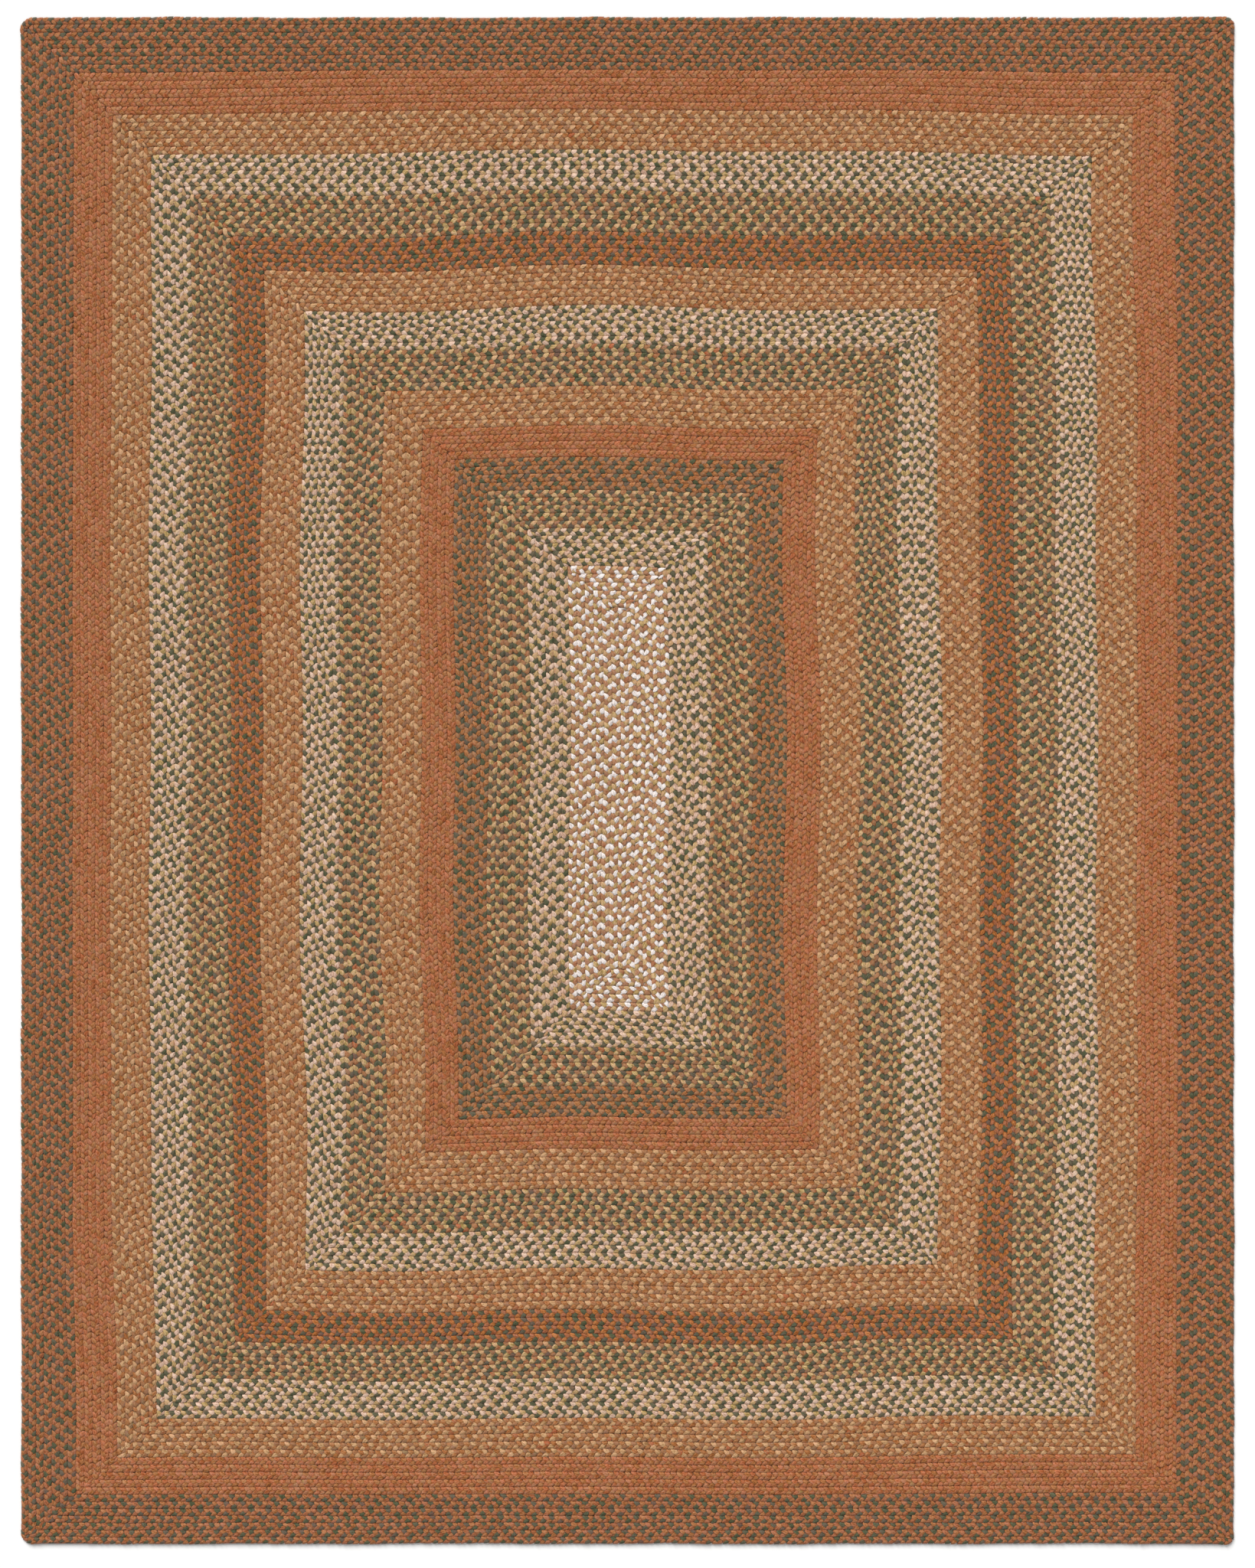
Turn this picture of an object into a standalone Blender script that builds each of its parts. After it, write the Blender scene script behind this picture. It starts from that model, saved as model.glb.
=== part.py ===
"""A rectangular braided rug, lying flat.

Flat three-strand braid is laid in rectangular rounds about a straight centre and laced edge to edge. Wherever the
maker changes strands a new colour band begins, so the rug is fourteen frame-shaped bands, one inside the other,
round a solid centre panel. Each band is one solid: flat underneath, with a rib on top for every row of braid and a
groove along every lacing.

Units are metres, +Z is up. X runs across the rug, Y along it, and the origin lies on the floor under its middle.
"""

import math
from typing import NamedTuple

import bmesh
import bpy

# The outline, measured between the middles of opposite edges.
RUG_WIDTH = 2.423
RUG_LENGTH = 3.050

# The cross-section of one row of braid.
THICKNESS = 0.010
GROOVE_HEIGHT = 0.0075
SHOULDER_SHARE = 0.28
RIM_HEIGHT = 0.0045
RIM_TUCK_SHARE = 0.20

# Lacing leaves the bands this far apart, and the innermost row leaves a fine slit.
LACING_GAP = 0.0003
SLIT_SHARE = 0.03

# Where a row turns a corner it is nearly square, and the border's corners stand out a little. On a very short side
# both stretches keep to a share of it.
CORNER_RADIUS = 0.014
CORNER_SHARE = 0.3
CORNER_EAR = 0.003
EAR_LENGTH = 0.045
EAR_SHARE = 0.4
EAR_DEPTH = 0.100

# The rows drift sideways in slow waves that die away towards the straight outer edge.
DRIFT = 0.0035
DRIFT_WAVE = 0.72
DRIFT_CREST_X = -0.12
DRIFT_CREST_Y = 0.10
DRIFT_FADE = 0.40

FABRIC_ROUGHNESS = 0.92
MM = 0.001


class Inset(NamedTuple):
    """How far a round lies inside the rug's edge on each of its four sides."""

    left: float
    right: float
    top: float
    bottom: float

    def plus(self, other, share=1.0):
        """This inset moved inwards by a share of another one."""
        return Inset(*(own + share * more for own, more in zip(self, other)))

    def moved(self, distance):
        """This inset moved inwards by the same distance on every side."""
        return Inset(*(own + distance for own in self))


class Band(NamedTuple):
    """One colour band: its rows of braid, its width in millimetres on each side of the rug, and its colour."""

    name: str
    rows: int
    left: float
    right: float
    top: float
    bottom: float
    colour: str

    def width(self):
        """The band's width on each side, in metres."""
        return Inset(self.left * MM, self.right * MM, self.top * MM, self.bottom * MM)


# From the edge inwards. The braid was laced tighter on some sides, so a band's width differs from side to side.
#        name                       rows   left  right    top bottom  colour
BANDS = (
    Band("border_green_rust",          7, 104.0, 113.2, 106.3,  99.5, "845A3E"),
    Band("band_terracotta_outer",      5,  75.8,  80.3,  79.6,  74.2, "9B613F"),
    Band("band_tan_outer",             5,  78.0,  80.4,  81.1,  76.5, "A0714D"),
    Band("band_blush_outer",           5,  78.8,  80.3,  81.0,  78.0, "9B8164"),
    Band("band_olive_outer",           5,  80.3,  82.6,  83.5,  73.4, "876B4D"),
    Band("band_rust_green",            4,  64.3,  67.3,  66.5,  64.3, "875B3C"),
    Band("band_tan_middle",            5,  78.8,  81.9,  79.6,  82.6, "A1724D"),
    Band("band_blush_middle",          5,  77.2,  79.6,  76.5,  76.5, "9C8266"),
    Band("band_olive_middle",          5,  81.9,  83.3,  82.6,  81.1, "886E4F"),
    Band("band_tan_inner",             5,  78.8,  79.6,  78.0,  79.6, "A3734E"),
    Band("band_terracotta_inner",      4,  67.3,  67.3,  63.5,  64.2, "9F6441"),
    Band("band_green_terracotta",      4,  66.6,  67.3,  66.6,  61.2, "866043"),
    Band("band_olive_inner",           5,  82.6,  83.4,  78.0,  78.0, "876C4E"),
    Band("band_blush_inner",           5,  81.1,  82.6,  75.7,  73.5, "9E8567"),
)
CENTRE_NAME = "centre_panel"
CENTRE_ROWS = 6
CENTRE_COLOUR = "B99B83"


def linear(channel):
    """One sRGB channel from 0 to 1 as a linear value."""
    return channel / 12.92 if channel <= 0.04045 else ((channel + 0.055) / 1.055) ** 2.4


def fabric(name, colour):
    """A matt braid material of a six-digit sRGB colour."""
    material = bpy.data.materials.new(name)
    material.use_nodes = True
    shader = material.node_tree.nodes["Principled BSDF"]
    channels = [linear(int(colour[at:at + 2], 16) / 255) for at in (0, 2, 4)]
    shader.inputs["Base Color"].default_value = (*channels, 1.0)
    shader.inputs["Roughness"].default_value = FABRIC_ROUGHNESS
    shader.inputs["Metallic"].default_value = 0.0
    return material


def smooth_step(value):
    """0 below 0, 1 above 1, and a soft rise between."""
    held = min(max(value, 0.0), 1.0)
    return held * held * (3.0 - 2.0 * held)


def drifted(x, y):
    """A place on the rug after the rows' slow sideways drift."""
    fade = smooth_step((RUG_WIDTH / 2 - abs(x)) / DRIFT_FADE) * smooth_step((RUG_LENGTH / 2 - abs(y)) / DRIFT_FADE)
    across = math.cos(math.tau * (y - DRIFT_CREST_Y) / DRIFT_WAVE)
    along = math.cos(math.tau * (x - DRIFT_CREST_X) / DRIFT_WAVE)
    return x + fade * DRIFT * across, y + fade * DRIFT * along


def side_stations(length):
    """Distances along one side at which a round has points, from the end of one corner's arc to the next one's."""
    turn = min(CORNER_RADIUS, CORNER_SHARE * length)
    ear = min(EAR_LENGTH, EAR_SHARE * length)
    return turn, ear, length / 2, length - ear, length - turn


def round_points(inset, height):
    """The points of one closed round, anticlockwise from the right-hand top corner."""
    left = -RUG_WIDTH / 2 + inset.left
    right = RUG_WIDTH / 2 - inset.right
    top = RUG_LENGTH / 2 - inset.top
    bottom = -RUG_LENGTH / 2 + inset.bottom
    corners = ((right, top), (left, top), (left, bottom), (right, bottom))
    ear = CORNER_EAR * max(0.0, 1.0 - min(inset) / EAR_DEPTH)
    points = []
    for number, (x, y) in enumerate(corners):
        end_x, end_y = corners[(number + 1) % len(corners)]
        length = abs(end_x - x) + abs(end_y - y)
        step_x = (end_x - x) / length
        step_y = (end_y - y) / length
        stations = side_stations(length)
        for distance in stations:
            push = ear if distance in (stations[0], stations[-1]) else 0.0
            place_x = x + step_x * distance + step_y * push
            place_y = y + step_y * distance - step_x * push
            points.append((*drifted(place_x, place_y), height))
    return points


def ribs(rows):
    """The ribbed top of a band, as (rows inwards, height) pairs: a groove before each row and two shoulders."""
    section = []
    for row in range(rows):
        section.append((row, GROOVE_HEIGHT))
        section.append((row + SHOULDER_SHARE, THICKNESS))
        section.append((row + 1 - SHOULDER_SHARE, THICKNESS))
    return section


def frame_section(rows, is_rim):
    """The closed cross-section of a frame-shaped band. The rug's rim is rounded instead of upright."""
    inner_wall = [(rows, GROOVE_HEIGHT), (rows, 0.0)]
    if is_rim:
        return [(RIM_TUCK_SHARE, 0.0), (0.0, RIM_HEIGHT)] + ribs(rows)[1:] + inner_wall
    return [(0, 0.0)] + ribs(rows) + inner_wall


def centre_section(rows):
    """The cross-section of the solid centre, from its lower edge up and inwards to the slit."""
    return [(0, 0.0)] + ribs(rows) + [(rows - SLIT_SHARE, GROOVE_HEIGHT)]


def first_round(mesh, points):
    """Adds a closed loop of edges through some points, and returns its vertices in order."""
    vertices = [mesh.verts.new(point) for point in points]
    for number, vertex in enumerate(vertices):
        mesh.edges.new((vertex, vertices[number - 1]))
    return vertices


def next_round(mesh, vertices, points):
    """Extrudes a round's loop of edges to a new place, and returns the new vertices in the same order."""
    edges = [mesh.edges.get((vertex, vertices[number - 1])) for number, vertex in enumerate(vertices)]
    made = bmesh.ops.extrude_edge_only(mesh, edges=edges)
    grown = {item for item in made["geom"] if isinstance(item, bmesh.types.BMVert)}
    moved = []
    for vertex, point in zip(vertices, points):
        partner = next(edge.other_vert(vertex) for edge in vertex.link_edges if edge.other_vert(vertex) in grown)
        partner.co = point
        moved.append(partner)
    return moved


def band_solid(name, colour, outer, width, rows, section, is_frame):
    """Builds one band: a round of points for every point of the section, each extruded from the last."""
    rounds = [round_points(outer.plus(width, rows_in / rows), height) for rows_in, height in section]
    mesh = bmesh.new()
    start = first_round(mesh, rounds[0])
    end = start
    for points in rounds[1:]:
        end = next_round(mesh, end, points)
    if is_frame:
        end = next_round(mesh, end, rounds[0])
        bmesh.ops.weld_verts(mesh, targetmap=dict(zip(end, start)))
    else:
        mesh.faces.new(start)
        mesh.faces.new(end)
    bmesh.ops.recalc_face_normals(mesh, faces=mesh.faces)
    data = bpy.data.meshes.new(name)
    mesh.to_mesh(data)
    mesh.free()
    data.materials.append(fabric(name + "_braid", colour))
    band = bpy.data.objects.new(name, data)
    bpy.context.scene.collection.objects.link(band)


def build_rug():
    """Builds every band from the edge inwards, then the centre panel."""
    edge = Inset(0.0, 0.0, 0.0, 0.0)
    for number, band in enumerate(BANDS):
        is_rim = number == 0
        outer = edge if is_rim else edge.moved(LACING_GAP / 2)
        inner = edge.plus(band.width()).moved(-LACING_GAP / 2)
        width = inner.plus(outer, -1.0)
        band_solid(band.name, band.colour, outer, width, band.rows, frame_section(band.rows, is_rim), True)
        edge = edge.plus(band.width())
    outer = edge.moved(LACING_GAP / 2)
    half_width = (RUG_WIDTH - outer.left - outer.right) / 2
    width = Inset(half_width, half_width, half_width, half_width)
    band_solid(CENTRE_NAME, CENTRE_COLOUR, outer, width, CENTRE_ROWS, centre_section(CENTRE_ROWS), False)


for leftover in list(bpy.data.objects):
    bpy.data.objects.remove(leftover, do_unlink=True)
build_rug()
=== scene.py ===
"""A rectangular braided rug: the looks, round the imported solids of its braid.

The rug is flat three-strand braid, laid in rectangular rounds about two straight middle runs and laced edge
to edge. Every crossing of a strand shows as one plump lobe. The script makes that lobe once, repeats it along
the path of each round, and joins the lobes of each strand of each colour band into one piece. A closed,
ribbed backing lies under them and gives the rug its body, its rim and its plaited underside.

Units are metres, +Z is up. X runs across the rug, Y along it, and the origin lies on the floor under its
middle.
"""

import logging
import math
from dataclasses import dataclass, field
from enum import Enum
from functools import cache, partial
from typing import NamedTuple

import bmesh
import bpy
import numpy as np
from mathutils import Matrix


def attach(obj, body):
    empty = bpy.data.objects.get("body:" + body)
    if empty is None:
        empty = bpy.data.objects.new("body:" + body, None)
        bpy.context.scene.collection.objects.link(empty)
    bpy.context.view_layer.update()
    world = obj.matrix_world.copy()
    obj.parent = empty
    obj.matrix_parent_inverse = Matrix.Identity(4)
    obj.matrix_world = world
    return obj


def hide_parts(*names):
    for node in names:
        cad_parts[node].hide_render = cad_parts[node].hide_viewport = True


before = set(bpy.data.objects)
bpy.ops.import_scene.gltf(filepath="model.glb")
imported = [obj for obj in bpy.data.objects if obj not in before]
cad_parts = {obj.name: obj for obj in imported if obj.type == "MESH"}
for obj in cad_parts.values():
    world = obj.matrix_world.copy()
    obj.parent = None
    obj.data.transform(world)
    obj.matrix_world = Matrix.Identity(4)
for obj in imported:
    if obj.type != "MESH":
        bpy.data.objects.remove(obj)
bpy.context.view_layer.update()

Array = np.ndarray
Colour = tuple[float, float, float, float]
Pair = tuple[float, float]
Socket = bpy.types.NodeSocket

LOG = logging.getLogger("braided_rug")
BODY = "root"
MM = 0.001
TINY = 0.001

BAKE_MAP = "OFBake"
YARN_MAP = "Yarn"
ROW_MAP = "Rows"
TINT = "tint"
SHIFT = "shift"
# The lobes' painted shade: full light on the crest, darker at the sides and darkest at the head.
PAINTED_EDGE_SHADE = "crest"
# Marks the backing's top, which the material darkens with painted shade.
TOPSIDE = "topside"
STRAND_COLOURS = ("strand_a", "strand_b", "strand_c")


# --- Sizes ---


@dataclass(frozen=True)
class RugSizes:
    """The rug's driving dimensions, in metres. Width, length and drift repeat those of its solids."""

    width: float = 2.423
    length: float = 3.050
    ear: float = 0.0016
    ear_turn: float = 0.014
    ear_length: float = 0.045
    ear_depth: float = 0.100
    drift: float = 0.0035
    drift_wave: float = 0.72
    drift_crests: Pair = (0.10, -0.12)
    drift_fade: float = 0.40
    pulls_top: tuple[Pair, Pair] = ((0.0046, -0.0100), (-0.0092, -0.0092))
    pulls_bottom: tuple[Pair, Pair] = ((0.0122, -0.0010), (-0.0038, 0.0069))
    pull_blend: float = 0.70
    pull_starts: float = 0.20
    pull_fades: Pair = (0.45, 0.80)
    pull_along: Pair = (0.14, 0.50)
    edge_waves: tuple[Pair, ...] = ((0.061, 0.0003), (0.17, 0.0005), (0.41, 0.0006), (1.13, 0.0004))
    edge_wave_depth: float = 0.16
    edge_seed: int = 3

    def laid(self, points: Array) -> Array:
        """Moves points of the ideal rug to where the braid really lies.

        The rows drift sideways in slow waves that die away towards the edge, and the corners stand out.

        Args:
            points: The points' places across and along the rug.

        Returns:
            The moved places.
        """
        reach = np.array([self.width, self.length]) / 2 - np.abs(points)
        fade = smooth_step(reach / self.drift_fade).prod(axis=1)[:, None]
        drift = np.cos(math.tau * (points[:, ::-1] - self.drift_crests) / self.drift_wave)
        ear = self.ear * np.clip(1.0 - reach.min(axis=1)[:, None] / self.ear_depth, 0.0, 1.0)
        fall = self.ear_length - self.ear_turn
        push = ear * (1.0 - smooth_step((reach[:, ::-1] - self.ear_turn) / fall))
        moved = points + fade * self.drift * drift + np.sign(points) * push
        return moved + self.corner_pull(points, reach) + self.edge_wander(points, reach)

    def edge_wander(self, points: Array, reach: Array) -> Array:
        """How far the outer rows wander off the straight edge, as hand-laced braid does.

        The right and top edges wander differently from the left and bottom ones.

        Args:
            points: The points' places.
            reach: Their distances from the nearer long edge and the nearer short edge.

        Returns:
            The movement.
        """
        draws = np.random.default_rng(self.edge_seed)
        total = np.zeros(points.shape)
        for wave, height in self.edge_waves:
            near, far = draws.uniform(0.0, math.tau, 2)
            total += height * np.sin(math.tau * points[:, ::-1] / wave + np.where(points > 0.0, far, near))
        return total * (1.0 - smooth_step(reach / self.edge_wave_depth))

    def corner_pull(self, points: Array, reach: Array) -> Array:
        """How far the braid is drawn in near the corners, where it was laced tighter as it turned.

        Args:
            points: The points' places.
            reach: Their distances from the nearer long edge and the nearer short edge.

        Returns:
            The movement.
        """
        inset = reach.min(axis=1)
        begin, length = self.pull_along
        along = 1.0 - smooth_step((np.abs(reach[:, 0] - reach[:, 1]) - begin) / length)
        fade_from, fade_length = self.pull_fades
        deep = smooth_step(inset / self.pull_starts) * (1.0 - smooth_step((inset - fade_from) / fade_length))
        right, up = smooth_step(points / self.pull_blend + 0.5).T[:, :, None]
        top = blend(right, *np.array(self.pulls_top))
        bottom = blend(right, *np.array(self.pulls_bottom))
        return blend(up, bottom, top) * (deep * along)[:, None]


@dataclass(frozen=True)
class RowProfile:
    """The cross-section of one row of braid: heights above the floor in metres, and shares of its width."""

    crest: float = 0.0097
    groove: float = 0.0069
    rim_foot: float = 0.0030
    past_fall: float = 0.006
    seam_dip: float = 0.0005
    seam_width: float = 0.25
    rim_soften: float = 0.05
    rim_inset: float = 0.075
    inner_overlap: float = 0.05
    backing_rim_at: float = 0.90
    least: float = 0.0004
    backing_crest: float = 0.0070
    backing_groove: float = 0.0046
    backing_rim: float = 0.0030
    foot_groove: float = 0.0012
    foot_shoulder: float = 0.25
    rim_tuck: float = 0.18
    rim_shoulder: float = 0.27

    def height(self, outward: Array, is_rim: bool) -> Array:
        """The height of the strands' crests across a row.

        Args:
            outward: Places across the row, 0 at its inner edge and 1 at its outer edge.
            is_rim: Whether this is the rug's outermost row, which rounds down to the floor.

        Returns:
            The height at each place.
        """
        off_middle = 2.0 * outward - 1.0
        inside = np.sqrt(np.clip(1.0 - off_middle**2, 0.0, 1.0))
        low = np.where(is_rim & (off_middle > 0.0), self.rim_foot, self.groove)
        past = np.clip(np.abs(off_middle) - 1.0, 0.0, None)
        seam = self.seam_dip * np.exp(-((off_middle / self.seam_width) ** 2))
        return low + (self.crest - low) * inside - self.past_fall * past - seam


@dataclass(frozen=True)
class LobeSizes:
    """One lobe: a strand where it shows between two crossings. Shares are of the row's own sizes."""

    corners: int = 8
    lead: float = 1.10
    sweep: float = 1.28
    girth: float = 0.98
    tail_past: float = 0.22
    tail_start: float = 0.40
    crest_at: float = 0.58
    waist_power: float = 0.78
    shoulder_power: float = 0.9
    tail_taper: float = 0.42
    side_drop: float = 0.0011
    head_drop: float = 0.0024
    head_start: float = 0.50
    head_length: float = 0.35
    tail_drop: float = 0.0003
    # Painted shade at the lobe's tail and sides, where it dives under its neighbours; the head is painted
    # darkest.
    tail_light: float = 0.8
    side_light: float = 0.55
    crest_rise: float = 0.0003
    jitter_along: float = 0.0007
    jitter_across: float = 0.0004
    jitter_turn: float = 0.07
    jitter_size: float = 0.08
    jitter_height: float = 0.00032
    full_rise: float = 0.004


@dataclass(frozen=True)
class PlaitSizes:
    """How the three strands cross: one period holds six crossings, three on each side of the row."""

    crossings: int = 6
    strands: int = 3
    border_period: float = 0.0340
    centre_period: float = 0.0362
    turn_crowding: float = 1.6
    heart_wander: float = 1.5
    pitch_wander: float = 0.25
    pitch_waves: int = 4


@dataclass(frozen=True)
class DyeSizes:
    """How the dye wanders along the braid: lengths of its waves in metres, and shares of its range."""

    shift_wave: float = 0.12
    tint_wave: float = 0.3
    second_wave: float = 1.7
    swing: float = 0.08
    jump: float = 0.17
    own_tint: float = 0.6


RUG = RugSizes()
PROFILE = RowProfile()
LOBE = LobeSizes()
PLAIT = PlaitSizes()
DYE = DyeSizes()


def smooth_step(value: Array) -> Array:
    """0 below 0, 1 above 1, and a soft rise between."""
    held = np.clip(value, 0.0, 1.0)
    return held * held * (3.0 - 2.0 * held)


def blend(share: Array, start: Array, end: Array) -> Array:
    """The start where the share is 0, the end where it is 1, and a mix between."""
    return (1.0 - share) * start + share * end


# --- Yarns ---


@dataclass(frozen=True)
class YarnFinish:
    """A variegated yarn of dyed, matt spun fibre, as braided rugs are made of.

    A strand is a bundle of plies about 2 mm wide, each dyed a little differently, so fine streaks of the
    stops' colours run along it. The fibre is dull: rough, with a faint sheen from its fuzz.
    """

    stops: tuple[tuple[float, str], ...]
    wander: float = 0.25
    light_range: float = 0.15
    fullness: float = 1.0


class Yarn(Enum):
    """The yarns of this rug."""

    SLATE_GREEN = YarnFinish(
        ((0.0, "484C2C"), (0.35, "545639"), (0.6, "5D5743"), (0.8, "635647"), (1.0, "72503F")),
        wander=0.5, fullness=0.98,
    )
    DEEP_GREEN = YarnFinish(
        ((0.0, "484E2F"), (0.35, "545539"), (0.65, "605842"), (0.85, "685944"), (1.0, "745B42")),
        wander=0.45, fullness=0.98,
    )
    RUST = YarnFinish(
        ((0.0, "924F2C"), (0.3, "A15E35"), (0.55, "A86640"), (0.78, "9E644B"), (1.0, "986C45")),
        wander=0.3,
    )
    GOLDEN_RUST = YarnFinish(
        ((0.0, "92562C"), (0.35, "A46637"), (0.65, "AC7044"), (1.0, "A1694A")),
        wander=0.3,
    )
    BRIGHT_RUST = YarnFinish(
        ((0.0, "995221"), (0.35, "AB652B"), (0.7, "B57039"), (1.0, "A26A40")),
    )
    RED_TERRACOTTA = YarnFinish(
        ((0.0, "9D5029"), (0.3, "AE5F31"), (0.6, "B66D46"), (0.8, "A8694F"), (1.0, "A1713B")),
        wander=0.3,
    )
    BROWN_TERRACOTTA = YarnFinish(
        ((0.0, "945526"), (0.35, "A66632"), (0.6, "B07344"), (0.8, "A4774D"), (1.0, "AA5F30")),
        wander=0.3,
    )
    MIXED_TERRACOTTA = YarnFinish(
        ((0.0, "9F5429"), (0.3, "A96236"), (0.55, "B17048"), (0.75, "A97356"), (1.0, "97733E")),
        wander=0.3,
    )
    LIGHT_TAN = YarnFinish(
        ((0.0, "AB7E52"), (0.3, "BB9163"), (0.6, "CDA175"), (0.8, "C7936C"), (1.0, "B38952")),
        wander=0.35, fullness=1.04,
    )
    STRAW = YarnFinish(
        ((0.0, "A2864D"), (0.3, "B6975D"), (0.6, "CAA67A"), (0.8, "C2906C"), (1.0, "AC844F")),
        wander=0.35, fullness=1.02,
    )
    BLUSH = YarnFinish(
        ((0.0, "BE9479"), (0.35, "D4AD96"), (0.7, "DDBFA9"), (1.0, "CBA983")),
        wander=0.35, fullness=1.02,
    )
    RUST_BROWN = YarnFinish(
        (
            (0.0, "B66038"), (0.2, "9F633F"), (0.45, "A8754B"),
            (0.65, "9B6C49"), (0.85, "966A55"), (1.0, "8F764B"),
        ),
        wander=0.45,
    )
    ROSE_BROWN = YarnFinish(
        (
            (0.0, "AD6B47"), (0.25, "A8734E"), (0.5, "B2815B"),
            (0.7, "A67255"), (0.85, "A1735F"), (1.0, "9E834E"),
        ),
        wander=0.45,
    )
    IVORY = YarnFinish(
        ((0.0, "DAC6B9"), (0.3, "E9DDD7"), (0.8, "F1E8E3"), (1.0, "E4D4C7")),
        wander=0.1, light_range=0.05, fullness=0.98,
    )


@dataclass(frozen=True)
class BraidBand:
    """One colour band: its node, record slot, strands and rows, and its width in millimetres on each side."""

    node: str
    slot: str
    strands: tuple[Yarn, Yarn, Yarn]
    rows: int
    left: float = 0.0
    right: float = 0.0
    top: float = 0.0
    bottom: float = 0.0


GREEN_AND_RUST = (Yarn.SLATE_GREEN, Yarn.RUST, Yarn.GOLDEN_RUST)
TERRACOTTAS = (Yarn.RED_TERRACOTTA, Yarn.BROWN_TERRACOTTA, Yarn.MIXED_TERRACOTTA)
TAN_MIX = (Yarn.LIGHT_TAN, Yarn.BROWN_TERRACOTTA, Yarn.RUST_BROWN)
BLUSH_MIX = (Yarn.BLUSH, Yarn.DEEP_GREEN, Yarn.STRAW)
OLIVE_MIX = (Yarn.SLATE_GREEN, Yarn.STRAW, Yarn.RUST_BROWN)
GREEN_AND_BRIGHT = (Yarn.SLATE_GREEN, Yarn.BRIGHT_RUST, Yarn.RUST)
GREEN_AND_BROWN = (Yarn.SLATE_GREEN, Yarn.BROWN_TERRACOTTA, Yarn.RUST_BROWN)
IVORY_MIX = (Yarn.IVORY, Yarn.STRAW, Yarn.ROSE_BROWN)

# From the edge inwards, as the solids are. The last is the centre, which takes up the width that is left.
BANDS = (
    BraidBand("border_green_rust", "green_rust_braid", GREEN_AND_RUST, 7, 104.0, 113.2, 106.3, 99.5),
    BraidBand("band_terracotta_outer", "terracotta_braid", TERRACOTTAS, 5, 75.8, 80.3, 79.6, 74.2),
    BraidBand("band_tan_outer", "tan_braid", TAN_MIX, 5, 78.0, 80.4, 81.1, 76.5),
    BraidBand("band_blush_outer", "blush_braid", BLUSH_MIX, 5, 78.8, 80.3, 81.0, 78.0),
    BraidBand("band_olive_outer", "olive_braid", OLIVE_MIX, 5, 80.3, 82.6, 83.5, 73.4),
    BraidBand("band_rust_green", "rust_green_braid", GREEN_AND_BRIGHT, 4, 64.3, 67.3, 66.5, 64.3),
    BraidBand("band_tan_middle", "tan_braid", TAN_MIX, 5, 78.8, 81.9, 79.6, 82.6),
    BraidBand("band_blush_middle", "blush_braid", BLUSH_MIX, 5, 77.2, 79.6, 76.5, 76.5),
    BraidBand("band_olive_middle", "olive_braid", OLIVE_MIX, 5, 81.9, 83.3, 82.6, 81.1),
    BraidBand("band_tan_inner", "tan_braid", TAN_MIX, 5, 78.8, 79.6, 78.0, 79.6),
    BraidBand("band_terracotta_inner", "terracotta_braid", TERRACOTTAS, 4, 67.3, 67.3, 63.5, 64.2),
    BraidBand("band_green_terracotta", "green_terracotta_braid", GREEN_AND_BROWN, 4, 66.6, 67.3, 66.6, 61.2),
    BraidBand("band_olive_inner", "olive_braid", OLIVE_MIX, 5, 82.6, 83.4, 78.0, 78.0),
    BraidBand("band_blush_inner", "blush_braid", BLUSH_MIX, 5, 81.1, 82.6, 75.7, 73.5),
    BraidBand("centre_panel", "ivory_braid", IVORY_MIX, 6),
)
CENTRE = BANDS[-1]


# --- Paths of the rows ---


class Side(Enum):
    """The rug's sides as the braid travels them, with its direction there and the way outwards."""

    TOP = ((-1.0, 0.0), (0.0, 1.0))
    LEFT = ((0.0, -1.0), (-1.0, 0.0))
    BOTTOM = ((1.0, 0.0), (0.0, -1.0))
    RIGHT = ((0.0, 1.0), (1.0, 0.0))


STEPS, NORMALS = np.array([side.value for side in Side]).swapaxes(0, 1)
SIDES = len(Side)
LEFT, RIGHT = 1, 3


@dataclass(frozen=True)
class Edge:
    """A closed line between two rows: its distance from the rug's middle on each side, and its corner radii.

    Both arrays follow the order of Side, and a corner belongs to the side that it ends.
    """

    reach: Array
    turns: Array


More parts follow.
